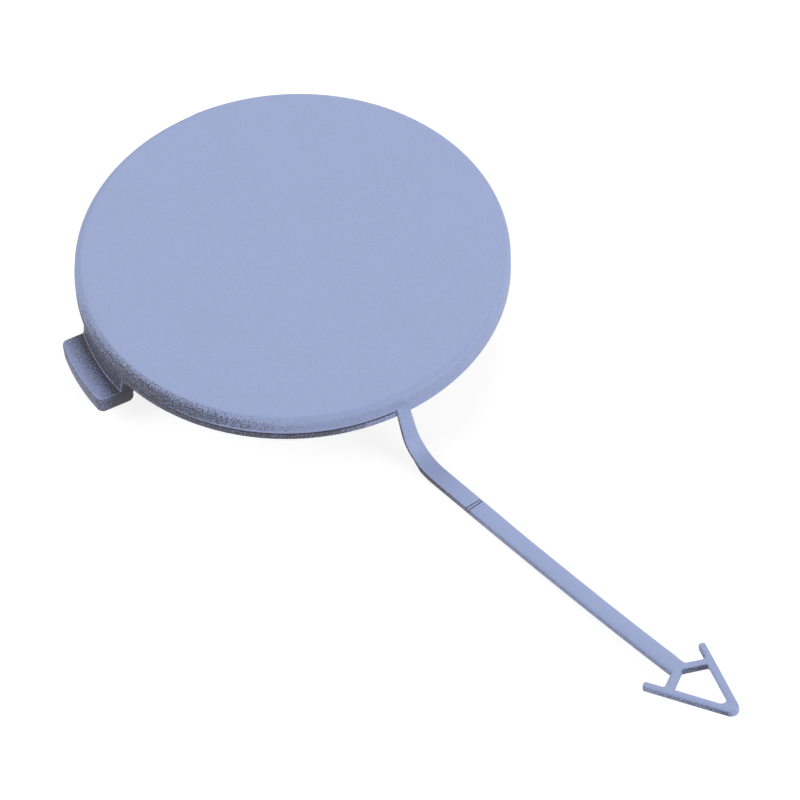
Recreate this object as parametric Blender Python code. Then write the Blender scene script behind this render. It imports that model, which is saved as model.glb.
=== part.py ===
# Bumper tow hook cover: a round painted face plate with a deep rim and a shadow groove, a locating lug,
# a snap tongue on the hidden side, and a thin retaining strap that ends in an open arrow anchor.
# One injection-moulded piece, so one node. All lengths in metres, +Z up, the visible face looks up.
# The plate is drawn about the Z axis with its face at z = 0, and the finished body is moved at the end
# so that the bottom centre of its bounding box is the origin.

import math

import bmesh
import bpy
from mathutils import Vector
from mathutils.geometry import tessellate_polygon

MM = 0.001

# Face plate with a deep rim; the rim's lower edge is the seat that rests on the step of the bumper
PLATE_RADIUS = 37.5 * MM
PLATE_ROUND = 1.3 * MM             # rounding between the face and the rim
PLATE_THICK = 2.3 * MM             # face to underside, inside the rim
RIM_DROP = 4.5 * MM                # face to the lower edge of the rim
RIM_WIDTH = 2.5 * MM
RIM_BREAK = 0.12 * MM              # small slope at the rim's lower outer edge
ROUND_STEPS = 6
AROUND_STEPS = 128

# Shadow groove round the rim, on the lug side only, from the top of the plan to the strap
GROOVE_DROP = 2.95 * MM            # face to the groove's upper edge
GROOVE_DEPTH = 0.4 * MM
GROOVE_HEIGHT = 0.3 * MM
GROOVE_START = 90.0                # degrees about Z
GROOVE_END = 272.8
GROOVE_STEPS = 65
OVERLAP = 0.3 * MM                 # how far joined shapes run into each other

# Locating lug at -X: a neck drops from the rim and the lug reaches outward behind the bumper skin
LUG_WIDTH = 15.2 * MM
LUG_STANDOUT = 4.05 * MM           # how far the lug's outer end stands out past the rim
LUG_GAP = 3.65 * MM                # room for the skin, from the rim's lower edge to the lug's top
LUG_HEIGHT = 3.45 * MM
LUG_CORNER = 1.2 * MM
LUG_DRAFT = 0.15 * MM              # how far the outer end and the sides draw in toward the bottom
LUG_INSET = 3.1 * MM               # rim's outer face to the lug's flat inner end
LUG_HEEL = 1.1 * MM                # rounding of the lug's lower inner edge
NECK_INSET = 0.1 * MM              # rim's outer face to the neck's outer face, where it meets the lug
NECK_DRAFT = 0.4 * MM              # how much further in the neck's face is at the rim
ARC_STEPS = 20
CORNER_STEPS = 5

# Snap tongue at +X, hidden under the plate
SNAP_WIDTH = 10.0 * MM
SNAP_INSET = 5.1 * MM              # rim's outer face to the tongue's outer face
SNAP_THICK = 1.5 * MM
SNAP_CATCH = 1.5 * MM              # how far the catch stands out
SNAP_CATCH_HEIGHT = 3.2 * MM
SNAP_CATCH_EDGE = 0.75 * MM        # height of the catch's outer face, below which it slopes back
SNAP_ROOT = 1.2 * MM               # slope that thickens the tongue's root

# Stiffening ribs on the underside
RIB_THICK = 1.2 * MM
RIB_DROP = 4.0 * MM
CROSS_RIB_OFFSET = 13.0 * MM
RIB_STEP = 0.3 * MM                # how much shallower the cross ribs are than the long one
RIB_BITE = 0.6 * MM                # how far a rib's end runs into the wall

# Retaining strap: it leaves the rim downward, bends outward and then runs nearly level
STRAP_ROOT_ANGLE = 274.8           # degrees about Z of the root's outer corner
STRAP_INSET = 0.18 * MM            # rim's outer face to the strap's outer face at the root
STRAP_ROOT_DROP = 2.95 * MM
STRAP_SWING = 14.8                 # degrees that the strap turns from -Y toward +X
STRAP_WIDTH = 3.08 * MM
ROOT_WIDTH = 2.62 * MM             # the strap is a little narrower where it leaves the rim
WIDEN_LENGTH = 8.0 * MM            # length along the strap over which it widens
HINGE_THICK = 0.58 * MM            # thin first part, which flexes
STRAP_THICK = 1.36 * MM
HINGE_LENGTH = 10.0 * MM           # length along the strap before it thickens
THICKEN_LENGTH = 2.0 * MM
LEAN_LENGTH = 5.2 * MM
LEAN_HEADING = -73.5               # degrees above the horizontal
BEND_RADIUS = 7.02 * MM
LEVEL_HEADING = 0.1
LEVEL_LENGTH = 36.0 * MM
RISE_HEADING = 2.35
RISE_LENGTH = 22.0 * MM
END_HEADING = 5.2
ROOT_SINK = 1.5 * MM               # length of strap buried in the rim above the root
ROOT_SINK_TILT = 22.0              # degrees by which the buried length leans inward
STRAP_STATION = 1.2 * MM           # spacing of the strap's cross sections

# Arrow anchor at the strap's end
ARROW_SHIFT = -0.13 * MM           # strap end to the arrow's own origin, where the struts fork
ARROW_HEADING = 8.8                # degrees above the horizontal
ARROW_TURN = -1.1                  # degrees in its own plane, from the strap's line
ARROW_TWIST = -2.5                 # degrees about its own axis
ARROW_THICK = 1.29 * MM
ARROW_HALF_ANGLE = 22.2            # degrees between a leg and the arrow's axis
ARROW_APEX = 16.1 * MM             # arrow's origin to the point where the legs' outer edges would meet
ARROW_BARB_BACK = 1.17 * MM        # how far the barbs reach back past the arrow's origin
ARROW_LEG = 1.25 * MM
ARROW_STRUT = 1.48 * MM
ARROW_STRUT_ANGLE = 61.0           # degrees between a strut and the arrow's axis
ARROW_TIP_ROUND = 1.33 * MM
ARROW_HOLE_ROUND = 0.75 * MM
ARROW_BARB_ROUND = 0.45 * MM
ARROW_TAIL = 1.5 * MM              # straight length of strap that is cut with the arrow

WELD = 1e-7
SMOOTH_LIMIT = math.radians(32.0)

# Places that follow from the plate and the clearances above
LUG_REACH = PLATE_RADIUS + LUG_STANDOUT
LUG_INNER = PLATE_RADIUS - LUG_INSET
LUG_TOP = RIM_DROP + LUG_GAP
LUG_BOTTOM = LUG_TOP + LUG_HEIGHT
NECK_RADIUS = PLATE_RADIUS - NECK_INSET
SNAP_FACE = PLATE_RADIUS - SNAP_INSET
STRAP_ROOT_RADIUS = PLATE_RADIUS - STRAP_INSET

# Material
PAINT_COLOUR = (0.366, 0.428, 0.638, 1.0)
PAINT_ROUGHNESS = 0.45
PAINT_METALLIC = 0.35


for item in list(bpy.data.objects):
    bpy.data.objects.remove(item)

scene = bpy.context.scene
cover_set = bpy.data.collections.new("tow_hook_cover")
tool_set = bpy.data.collections.new("tow_hook_cover_joined_shapes")
scene.collection.children.link(cover_set)
scene.collection.children.link(tool_set)


def polar(radius, degrees):
    """Plan point at a radius and an angle about the Z axis."""
    angle = math.radians(degrees)
    return (radius * math.cos(angle), radius * math.sin(angle))


def meet(point_a, degrees_a, point_b, degrees_b):
    """Point where two lines in a plane cross, each given by a point and a direction."""
    ax, ay = math.cos(math.radians(degrees_a)), math.sin(math.radians(degrees_a))
    bx, by = math.cos(math.radians(degrees_b)), math.sin(math.radians(degrees_b))
    gap_x, gap_y = point_b[0] - point_a[0], point_b[1] - point_a[1]
    along = (gap_x * by - gap_y * bx) / (ax * by - ay * bx)
    return (point_a[0] + along * ax, point_a[1] + along * ay)


def rounded(corners, steps=CORNER_STEPS):
    """Closed outline from (x, y, corner radius) entries, with each corner replaced by an arc."""
    outline = []
    count = len(corners)
    for index, (x, y, radius) in enumerate(corners):
        here = Vector((x, y))
        if radius <= 0.0:
            outline.append((x, y))
            continue
        before = (Vector(corners[index - 1][:2]) - here).normalized()
        after = (Vector(corners[(index + 1) % count][:2]) - here).normalized()
        half = before.angle(after) / 2.0
        centre = here + (before + after).normalized() * (radius / math.sin(half))
        start = here + before * (radius / math.tan(half)) - centre
        end = here + after * (radius / math.tan(half)) - centre
        sweep = start.angle_signed(end)
        for step in range(steps + 1):
            turn = -sweep * step / steps
            cos_t, sin_t = math.cos(turn), math.sin(turn)
            outline.append((centre.x + start.x * cos_t - start.y * sin_t,
                            centre.y + start.x * sin_t + start.y * cos_t))
    return outline


def finish_mesh(name, shape, group):
    """Turn a bmesh into an object whose faces point outward."""
    bmesh.ops.remove_doubles(shape, verts=shape.verts, dist=WELD)
    bmesh.ops.recalc_face_normals(shape, faces=shape.faces)
    mesh = bpy.data.meshes.new(name)
    shape.to_mesh(mesh)
    shape.free()
    body = bpy.data.objects.new(name, mesh)
    group.objects.link(body)
    return body


def lathe(name, profile, steps):
    """Full turn of a profile of (radius, z) points that starts and ends on the axis."""
    shape = bmesh.new()
    top = shape.verts.new((0.0, 0.0, profile[0][1]))
    bottom = shape.verts.new((0.0, 0.0, profile[-1][1]))
    rings = []
    for radius, z in profile[1:-1]:
        ring = []
        for step in range(steps):
            x, y = polar(radius, 360.0 * step / steps)
            ring.append(shape.verts.new((x, y, z)))
        rings.append(ring)
    for step in range(steps):
        after = (step + 1) % steps
        shape.faces.new((top, rings[0][step], rings[0][after]))
        for upper, lower in zip(rings, rings[1:]):
            shape.faces.new((upper[step], lower[step], lower[after], upper[after]))
        shape.faces.new((bottom, rings[-1][after], rings[-1][step]))
    return finish_mesh(name, shape, tool_set)


def sector(name, profile, start, end, steps):
    """Closed profile of (radius, z) points swept about the Z axis from one angle to another."""
    shape = bmesh.new()
    sections = []
    for step in range(steps + 1):
        degrees = start + (end - start) * step / steps
        section = []
        for radius, z in profile:
            x, y = polar(radius, degrees)
            section.append(shape.verts.new((x, y, z)))
        sections.append(section)
    count = len(profile)
    for first, second in zip(sections, sections[1:]):
        for index in range(count):
            after = (index + 1) % count
            shape.faces.new((first[index], second[index], second[after], first[after]))
    shape.faces.new(sections[0])
    shape.faces.new(sections[-1])
    return finish_mesh(name, shape, tool_set)


def loft(name, low, high):
    """Closed body between two outlines that have the same number of points."""
    shape = bmesh.new()
    lower = [shape.verts.new(point) for point in low]
    upper = [shape.verts.new(point) for point in high]
    for index in range(len(lower)):
        after = (index + 1) % len(lower)
        shape.faces.new((lower[index], lower[after], upper[after], upper[index]))
    shape.faces.new(lower)
    shape.faces.new(upper)
    return finish_mesh(name, shape, tool_set)


def at_drop(plan, drop):
    """Plan points placed at a drop below the face."""
    return [(x, y, -drop) for x, y in plan]


def block(name, x_range, y_range, drop_range):
    """Plain block, its height given by two drops below the face."""
    plan = [(x_range[0], y_range[0]), (x_range[1], y_range[0]),
            (x_range[1], y_range[1]), (x_range[0], y_range[1])]
    return loft(name, at_drop(plan, drop_range[1]), at_drop(plan, drop_range[0]))


def lug_side_arc(radius, half_width):
    """Plan points of an arc about the Z axis on the -X side, from +half_width to -half_width in Y."""
    limit = math.degrees(math.asin(half_width / radius))
    return [polar(radius, 180.0 - limit + 2.0 * limit * step / ARC_STEPS) for step in range(ARC_STEPS + 1)]


# Face plate with its rounded rim and hollow underside
plate_profile = [(0.0, 0.0)]
for step in range(ROUND_STEPS + 1):
    turn = math.pi / 2.0 * step / ROUND_STEPS
    plate_profile.append((PLATE_RADIUS - PLATE_ROUND * (1.0 - math.sin(turn)),
                          -PLATE_ROUND * (1.0 - math.cos(turn))))
plate_profile.append((PLATE_RADIUS, -RIM_DROP + RIM_BREAK))
plate_profile.append((PLATE_RADIUS - RIM_BREAK, -RIM_DROP))
plate_profile.append((PLATE_RADIUS - RIM_WIDTH, -RIM_DROP))
plate_profile.append((PLATE_RADIUS - RIM_WIDTH, -PLATE_THICK))
plate_profile.append((0.0, -PLATE_THICK))
plate = lathe("plate", plate_profile, AROUND_STEPS)

# Groove, as a cutter that reaches past the rim's outer face
groove_low = GROOVE_DROP + GROOVE_HEIGHT
groove_profile = [(PLATE_RADIUS - GROOVE_DEPTH, -GROOVE_DROP),
                  (PLATE_RADIUS + GROOVE_DEPTH, -GROOVE_DROP),
                  (PLATE_RADIUS + GROOVE_DEPTH, -groove_low),
                  (PLATE_RADIUS - GROOVE_DEPTH, -groove_low)]
groove = sector("shadow_groove", groove_profile, GROOVE_START, GROOVE_END, GROOVE_STEPS)

# Neck and lug
half_lug = LUG_WIDTH / 2.0
neck_ends = [(-LUG_INNER, -half_lug), (-LUG_INNER, half_lug)]
neck_high = RIM_DROP - OVERLAP
neck_low = (LUG_TOP + LUG_BOTTOM) / 2.0 - LUG_HEEL / 2.0
neck = loft("lug_neck", at_drop(lug_side_arc(NECK_RADIUS, half_lug) + neck_ends, neck_low),
            at_drop(lug_side_arc(NECK_RADIUS - NECK_DRAFT, half_lug) + neck_ends, neck_high))


def lug_plan(inset):
    """Plan of the lug with rounded outer corners, drawn in by an inset at its end and sides."""
    corner_y = half_lug - inset - LUG_CORNER
    corner_x = math.sqrt((LUG_REACH - inset - LUG_CORNER) ** 2 - corner_y ** 2)
    tangent = math.degrees(math.atan2(corner_y, corner_x))
    plan = []
    for step in range(CORNER_STEPS + 1):
        x, y = polar(LUG_CORNER, 90.0 + (90.0 - tangent) * step / CORNER_STEPS)
        plan.append((x - corner_x, y + corner_y))
    for step in range(1, ARC_STEPS):
        plan.append(polar(LUG_REACH - inset, 180.0 - tangent + 2.0 * tangent * step / ARC_STEPS))
    for step in range(CORNER_STEPS + 1):
        x, y = polar(LUG_CORNER, 180.0 + tangent + (90.0 - tangent) * step / CORNER_STEPS)
        plan.append((x - corner_x, y - corner_y))
    return plan + [(-LUG_INNER, inset - half_lug), (-LUG_INNER, half_lug - inset)]


lug = loft("lug", at_drop(lug_plan(LUG_DRAFT), LUG_BOTTOM), at_drop(lug_plan(0.0), LUG_TOP))

heel = bmesh.new()
heel.from_mesh(lug.data)
heel_edges = [edge for edge in heel.edges
              if all(abs(v.co.x + LUG_INNER) < WELD and abs(v.co.z + LUG_BOTTOM) < WELD
                     for v in edge.verts)]
bmesh.ops.bevel(heel, geom=heel_edges, offset=LUG_HEEL, offset_type="OFFSET", segments=CORNER_STEPS,
                profile=0.5, affect="EDGES")
heel.to_mesh(lug.data)
heel.free()

# Snap tongue, drawn from the side and carried across its width
snap_back = SNAP_FACE - SNAP_THICK
snap_sink = (PLATE_THICK + RIB_BITE) / 2.0
catch_low = LUG_TOP + SNAP_CATCH_HEIGHT
snap_profile = [(snap_back - SNAP_ROOT, snap_sink),
                (SNAP_FACE, snap_sink),
                (SNAP_FACE, LUG_TOP),
                (SNAP_FACE + SNAP_CATCH, LUG_TOP),
                (SNAP_FACE + SNAP_CATCH, LUG_TOP + SNAP_CATCH_EDGE),
                (SNAP_FACE, catch_low),
                (snap_back, catch_low),
                (snap_back, PLATE_THICK + SNAP_ROOT),
                (snap_back - SNAP_ROOT, PLATE_THICK)]
snap_sides = [[(x, side * SNAP_WIDTH / 2.0, -drop) for x, drop in snap_profile] for side in (-1.0, 1.0)]
snap = loft("snap_tongue", snap_sides[0], snap_sides[1])

# Stiffening ribs: one from the lug to the snap, two across it
rib_top = snap_sink
long_rib = block("rib_long", (-LUG_INNER - RIB_BITE, snap_back + RIB_BITE),
                 (-RIB_THICK / 2.0, RIB_THICK / 2.0), (rib_top, RIB_DROP))
ribs = [long_rib]
for side in (-1.0, 1.0):
    middle = side * CROSS_RIB_OFFSET
    reach = math.sqrt((PLATE_RADIUS - RIM_WIDTH) ** 2 - middle ** 2) + RIB_BITE
    ribs.append(block("rib_cross", (middle - RIB_THICK / 2.0, middle + RIB_THICK / 2.0),
                      (-reach, reach), (rib_top, RIB_DROP - RIB_STEP)))

# Strap path in its own upright plane: (run outward, height, heading, length so far)
path = [(0.0, -STRAP_ROOT_DROP, LEAN_HEADING, 0.0)]
legs = [(LEAN_LENGTH, LEAN_HEADING, LEAN_HEADING),
        (BEND_RADIUS * math.radians(LEVEL_HEADING - LEAN_HEADING), LEAN_HEADING, LEVEL_HEADING),
        (LEVEL_LENGTH, LEVEL_HEADING, RISE_HEADING),
        (RISE_LENGTH, RISE_HEADING, END_HEADING)]
for length, heading_a, heading_b in legs:
    count = max(2, round(length / STRAP_STATION))
    for step in range(count):
        run, height, heading, travelled = path[-1]
        middle = math.radians(heading_a + (heading_b - heading_a) * (step + 0.5) / count)
        path.append((run + length / count * math.cos(middle), height + length / count * math.sin(middle),
                     heading_a + (heading_b - heading_a) * (step + 1) / count, travelled + length / count))

# The strap begins a little way up inside the rim
sunk = math.radians(LEAN_HEADING + 180.0 + ROOT_SINK_TILT)
sunk_height = ROOT_SINK * math.sin(sunk) - STRAP_ROOT_DROP
path.insert(0, (ROOT_SINK * math.cos(sunk), sunk_height, LEAN_HEADING, 0.0))

# Directions of the strap: outward in plan, and across its width
swing = math.radians(STRAP_SWING)
outward = Vector((math.sin(swing), -math.cos(swing), 0.0))
across = Vector((math.cos(swing), math.sin(swing), 0.0))
root_x, root_y = polar(STRAP_ROOT_RADIUS, STRAP_ROOT_ANGLE)
root = Vector((root_x, root_y, 0.0)) - across * (ROOT_WIDTH / 2.0)


def blend(travelled, start, length, first, last):
    """Value that runs from first to last over a length of strap that begins at start."""
    share = min(max((travelled - start) / length, 0.0), 1.0)
    return first + (last - first) * share


def strap_thickness(travelled):
    """Thin at the hinge, then full thickness."""
    return blend(travelled, HINGE_LENGTH, THICKEN_LENGTH, HINGE_THICK, STRAP_THICK)


def strap_half_width(travelled):
    """Half of the strap's width, a little less at the root."""
    return blend(travelled, 0.0, WIDEN_LENGTH, ROOT_WIDTH, STRAP_WIDTH) / 2.0


# Arrow outline in its own plane: x along the strap, y across it, origin at the middle of the strap's end
half_strap = STRAP_WIDTH / 2.0
leg_dir = 180.0 - ARROW_HALF_ANGLE
lean = math.radians(ARROW_HALF_ANGLE)
apex = (ARROW_APEX, 0.0)
inner_apex = (ARROW_APEX - ARROW_LEG / math.sin(lean), 0.0)
barb_line = (-ARROW_BARB_BACK, 0.0)
barb_square = leg_dir - 90.0
barb_outer = meet(apex, leg_dir, meet(apex, leg_dir, barb_line, 90.0), barb_square)
barb_inner = meet(inner_apex, leg_dir, barb_outer, barb_square)
strut_corner = (0.0, half_strap)
strut_outer = meet(strut_corner, ARROW_STRUT_ANGLE, inner_apex, leg_dir)
strut_lean = math.radians(ARROW_STRUT_ANGLE)
strut_inner_start = (ARROW_STRUT * math.sin(strut_lean), half_strap - ARROW_STRUT * math.cos(strut_lean))
strut_inner = meet(strut_inner_start, ARROW_STRUT_ANGLE, inner_apex, leg_dir)
hole_back = meet(strut_inner_start, ARROW_STRUT_ANGLE, (0.0, 0.0), 0.0)

upper_half = [(-ARROW_TAIL, half_strap, 0.0),
              (0.0, half_strap, ARROW_BARB_ROUND),
              (strut_outer[0], strut_outer[1], ARROW_BARB_ROUND),
              (barb_inner[0], barb_inner[1], ARROW_BARB_ROUND),
              (barb_outer[0], barb_outer[1], ARROW_BARB_ROUND)]
lower_half = [(x, -y, radius) for x, y, radius in reversed(upper_half)]
arrow_outline = rounded(upper_half + [(apex[0], apex[1], ARROW_TIP_ROUND)] + lower_half)
hole_outline = rounded([(hole_back[0], hole_back[1], ARROW_BARB_ROUND),
                        (strut_inner[0], strut_inner[1], ARROW_BARB_ROUND),
                        (inner_apex[0], inner_apex[1], ARROW_HOLE_ROUND),
                        (strut_inner[0], -strut_inner[1], ARROW_BARB_ROUND)])

# Directions of the arrow: along it, across it and down through it
end_run, end_height = path[-1][:2]
pitch = math.radians(ARROW_HEADING)
turn = math.radians(ARROW_TURN)
twist = math.radians(ARROW_TWIST)
level_axis = outward * math.cos(pitch) + Vector((0.0, 0.0, math.sin(pitch)))
level_up = level_axis.cross(across)
arrow_axis = level_axis * math.cos(turn) + across * math.sin(turn)
level_across = across * math.cos(turn) - level_axis * math.sin(turn)
arrow_across = level_across * math.cos(twist) + level_up * math.sin(twist)
arrow_down = level_across * math.sin(twist) - level_up * math.cos(twist)
strap_end = root + outward * end_run + Vector((0.0, 0.0, end_height))
arrow_origin = strap_end + arrow_axis * ARROW_SHIFT

# Strap and arrow are one mesh: the strap's last section is the arrow's rear edge
tail_run = end_run - ARROW_TAIL
stations = [entry for entry in path if entry[0] < tail_run - STRAP_STATION / 2.0]

shape = bmesh.new()
sections = []
for run, height, heading, travelled in stations:
    tilt = math.radians(heading)
    down = outward * math.sin(tilt) - Vector((0.0, 0.0, math.cos(tilt)))
    middle = root + outward * run + Vector((0.0, 0.0, height))
    thick = strap_thickness(travelled)
    half = strap_half_width(travelled)
    section = []
    for side, depth in ((1.0, 0.0), (-1.0, 0.0), (-1.0, 1.0), (1.0, 1.0)):
        section.append(shape.verts.new(middle + across * (side * half) + down * (depth * thick)))
    sections.append(section)

flat_loops = [[Vector((x, y, 0.0)) for x, y in outline] for outline in (arrow_outline, hole_outline)]
upper_face, lower_face = [], []
for depth, face in ((0.0, upper_face), (ARROW_THICK, lower_face)):
    for x, y in arrow_outline + hole_outline:
        face.append(shape.verts.new(arrow_origin + arrow_axis * x + arrow_across * y + arrow_down * depth))
    for triple in tessellate_polygon(flat_loops):
        shape.faces.new([face[index] for index in triple])

# Walls round the outline, open at the arrow's rear edge where the strap joins, and round the hole
edge_count = len(arrow_outline)
hole_count = len(hole_outline)
walls = [(index, index + 1) for index in range(edge_count - 1)]
walls += [(edge_count + index, edge_count + (index + 1) % hole_count) for index in range(hole_count)]
for here, after in walls:
    shape.faces.new((upper_face[here], upper_face[after], lower_face[after], lower_face[here]))
rear = edge_count - 1
sections.append([upper_face[0], upper_face[rear], lower_face[rear], lower_face[0]])
section_count = len(sections[0])
shape.faces.new(sections[0])
for first, second in zip(sections, sections[1:]):
    for index in range(section_count):
        after = (index + 1) % section_count
        shape.faces.new((first[index], second[index], second[after], first[after]))
strap = finish_mesh("strap_and_arrow", shape, tool_set)

# Join everything into the one moulded body
tool_set.hide_render = True
for body in tool_set.objects:
    body.display_type = "WIRE"
    body.hide_render = True

cover = bpy.data.objects.new("tow_hook_cover", plate.data.copy())
cover_set.objects.link(cover)
steps = [(groove, "DIFFERENCE")] + [(body, "UNION") for body in [neck, lug, snap] + ribs + [strap]]
for body, operation in steps:
    modifier = cover.modifiers.new(body.name, "BOOLEAN")
    modifier.operation = operation
    modifier.solver = "EXACT"
    modifier.object = body
bpy.context.view_layer.update()
graph = bpy.context.evaluated_depsgraph_get()
joined = bpy.data.meshes.new_from_object(cover.evaluated_get(graph))
cover.modifiers.clear()

# Clean the result and put the bottom centre of its bounding box on the origin
shape = bmesh.new()
shape.from_mesh(joined)
bmesh.ops.remove_doubles(shape, verts=shape.verts, dist=WELD)
bmesh.ops.dissolve_degenerate(shape, edges=shape.edges, dist=WELD)
lows = [min(v.co[axis] for v in shape.verts) for axis in range(3)]
highs = [max(v.co[axis] for v in shape.verts) for axis in range(3)]
shift = Vector((-(lows[0] + highs[0]) / 2.0, -(lows[1] + highs[1]) / 2.0, -lows[2]))
bmesh.ops.translate(shape, verts=shape.verts, vec=shift)
bmesh.ops.recalc_face_normals(shape, faces=shape.faces)
shape.to_mesh(joined)
shape.free()
cover.data = joined
cover.data.name = "tow_hook_cover"
cover.data.shade_smooth()
cover.data.set_sharp_from_angle(angle=SMOOTH_LIMIT)

# Painted plastic
paint = bpy.data.materials.new("satin_metallic_paint")
paint.use_nodes = True
surface = paint.node_tree.nodes["Principled BSDF"]
surface.inputs["Base Color"].default_value = PAINT_COLOUR
surface.inputs["Roughness"].default_value = PAINT_ROUGHNESS
surface.inputs["Metallic"].default_value = PAINT_METALLIC
cover.data.materials.clear()
cover.data.materials.append(paint)
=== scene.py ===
# %% [markdown]
# # Bumper tow hook cover
# The real object is one injection moulding in car paint: a round face plate with a deep rim, a lug that
# hooks behind the bumper skin, a hidden snap tongue, and a thin strap with an open arrow at its end that
# keeps the cover on the car when it is pulled out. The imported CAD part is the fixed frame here. This
# script builds the same cover again with every edge rounded as a mould leaves it, and then paints it.

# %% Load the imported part
import math

import bmesh
import bpy
from mathutils import Matrix, Vector
from mathutils.geometry import tessellate_polygon


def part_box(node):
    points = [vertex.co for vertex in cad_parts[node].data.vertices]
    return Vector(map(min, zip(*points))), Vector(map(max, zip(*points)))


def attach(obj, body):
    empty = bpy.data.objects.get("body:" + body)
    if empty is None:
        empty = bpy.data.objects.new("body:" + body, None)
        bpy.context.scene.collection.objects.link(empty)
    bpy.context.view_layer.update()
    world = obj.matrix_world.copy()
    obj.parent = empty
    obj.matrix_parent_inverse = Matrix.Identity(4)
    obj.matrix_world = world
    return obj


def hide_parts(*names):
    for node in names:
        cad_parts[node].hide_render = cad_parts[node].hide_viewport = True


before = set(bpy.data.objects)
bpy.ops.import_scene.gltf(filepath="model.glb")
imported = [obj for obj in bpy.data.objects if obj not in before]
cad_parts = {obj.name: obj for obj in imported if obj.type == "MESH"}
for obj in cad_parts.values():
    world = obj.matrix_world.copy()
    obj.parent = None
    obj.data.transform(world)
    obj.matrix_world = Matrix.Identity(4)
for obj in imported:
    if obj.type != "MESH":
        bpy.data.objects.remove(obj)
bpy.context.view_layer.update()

# %% [markdown]
# ## Frame and units
# Everything is written in millimetres about the plate's own axis, with the face at z = 0 and depths
# counted downward. That is how a mould maker would dimension it. The plate touches three sides of the
# CAD box, so the box tells where that axis stands in the row's frame. Each section starts with its own
# sizes.

# %% The plate's axis
MM = 0.001
PLATE_RADIUS = 37.5
NODE = "tow_hook_cover"
high_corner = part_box(NODE)[1]
AXIS = Vector((high_corner.x / MM - PLATE_RADIUS, high_corner.y / MM - PLATE_RADIUS, high_corner.z / MM))
TO_ROW = Matrix.Scale(MM, 4) @ Matrix.Translation(AXIS)
print("plate axis in the row's frame, mm:", [round(value, 3) for value in AXIS])

# %% [markdown]
# ## Small helpers
# A shape is collected in a bmesh, its doubles are merged and its faces are turned outward before it
# becomes an object. `soften` rounds every sharp edge of a plain solid, which is what a mould does to a
# real part: no moulded edge is a knife edge, and the thin highlight along it is what makes it look real.

# %% Number helpers
def clamp(value):
    """Value held between 0 and 1."""
    return min(max(value, 0.0), 1.0)


def between(first, last, share):
    """Value at a share of the way from first to last."""
    return first + (last - first) * share


def polar(radius, degrees):
    """Plan point at a radius and an angle about the plate's axis."""
    angle = math.radians(degrees)
    return radius * math.cos(angle), radius * math.sin(angle)


def quarter_round(radius, steps):
    """(inset, drop) points of a quarter rounding, from a level top to an upright side."""
    turns = [math.pi / 2.0 * step / steps for step in range(steps + 1)]
    return [(radius * (1.0 - math.sin(turn)), radius * (1.0 - math.cos(turn))) for turn in turns]


print("plate's edge on the lug's side:", [round(value, 3) for value in polar(PLATE_RADIUS, 180.0)])

# %% Mesh helpers
WELD = 1e-4                  # points closer than this are one point
SOFTEN_STEPS = 3
SHARP = math.radians(28.0)   # an edge that turns by more is rounded
CREASE = math.radians(55.0)  # an edge that turns by more keeps a hard line in the shading


def in_scene(name, data):
    """New object in the scene."""
    made = bpy.data.objects.new(name, data)
    bpy.context.scene.collection.objects.link(made)
    return made


def as_object(name, shape):
    """Close a bmesh into an object with its faces turned outward."""
    bmesh.ops.remove_doubles(shape, verts=shape.verts, dist=WELD)
    bmesh.ops.recalc_face_normals(shape, faces=shape.faces)
    mesh = bpy.data.meshes.new(name)
    shape.to_mesh(mesh)
    shape.free()
    print(name, "has", len(mesh.vertices), "points")
    return in_scene(name, mesh)


def stitch(shape, first, second, closed=True):
    """Row of faces between two rows of points; a closed row also joins its end to its start."""
    count = len(first)
    for index in range(count if closed else count - 1):
        after = (index + 1) % count
        shape.faces.new((first[index], first[after], second[after], second[index]))


def loft(shape, rings):
    """Join rings of points, each a closed loop with the same count, into a closed skin."""
    loops = [[shape.verts.new(point) for point in ring] for ring in rings]
    for first, second in zip(loops, loops[1:]):
        stitch(shape, first, second)
    shape.faces.new(loops[0])
    shape.faces.new(loops[-1])


def soften(shape, width):
    """Round every edge of a plain solid that turns by more than the sharp limit."""
    bmesh.ops.recalc_face_normals(shape, faces=shape.faces)
    sharp = [edge for edge in shape.edges if len(edge.link_faces) == 2 and edge.calc_face_angle() > SHARP]
    bmesh.ops.bevel(shape, geom=sharp, offset=width, offset_type="OFFSET", segments=SOFTEN_STEPS,
                    profile=0.5, affect="EDGES", clamp_overlap=True)


def at_drop(plan, drop):
    """Plan points placed at a depth below the face."""
    return [(x, y, -drop) for x, y in plan]


print("edges that turn by more than", round(math.degrees(SHARP)), "degrees get rounded")

# %% [markdown]
# ## Face plate
# The plate is a turned form: one profile carried round the axis. The shadow groove under the painted
# wall only runs round the lug side, so the profile isn't quite the same everywhere. It could be cut
# with a Boolean. Here the groove's depth is simply a number that changes with the angle, which keeps the
# rings even and lets the groove fade out at both ends.

# %% Face plate: sizes
PLATE_ROUND = 1.3            # rounding between the face and the rim
PLATE_THICK = 2.3            # face to underside, inside the rim
RIM_DROP = 4.5               # face to the rim's lower edge
RIM_WIDTH = 2.5              # thickness of the rim's wall
GROOVE_DROP = 2.95           # shadow groove round the lug side of the rim
GROOVE_DEPTH = 0.4
GROOVE_HEIGHT = 0.3
GROOVE_START = 90.0          # degrees about the plate's axis
GROOVE_END = 272.8
GROOVE_FADE = 1.5            # degrees over which the groove runs out at each end
GROOVE_TAPER = 0.02          # slope of the groove's upper and lower side
LIP = 0.12                   # rounding of the rim's and the groove's edges
BEAD = 0.14                  # how far the wall's lower lip stands out above the groove
FLAT_RING = 0.4              # ring inside the rounding that keeps the face's shading flat
ARC_MIDDLE = 0.3             # in radii, how far a small rounding's middle lies inside its corner
TURN_STEPS = 360
ROUND_STEPS = 12
print("wall between the rounding and the groove:", round(GROOVE_DROP - PLATE_ROUND, 2), "mm")

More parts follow.
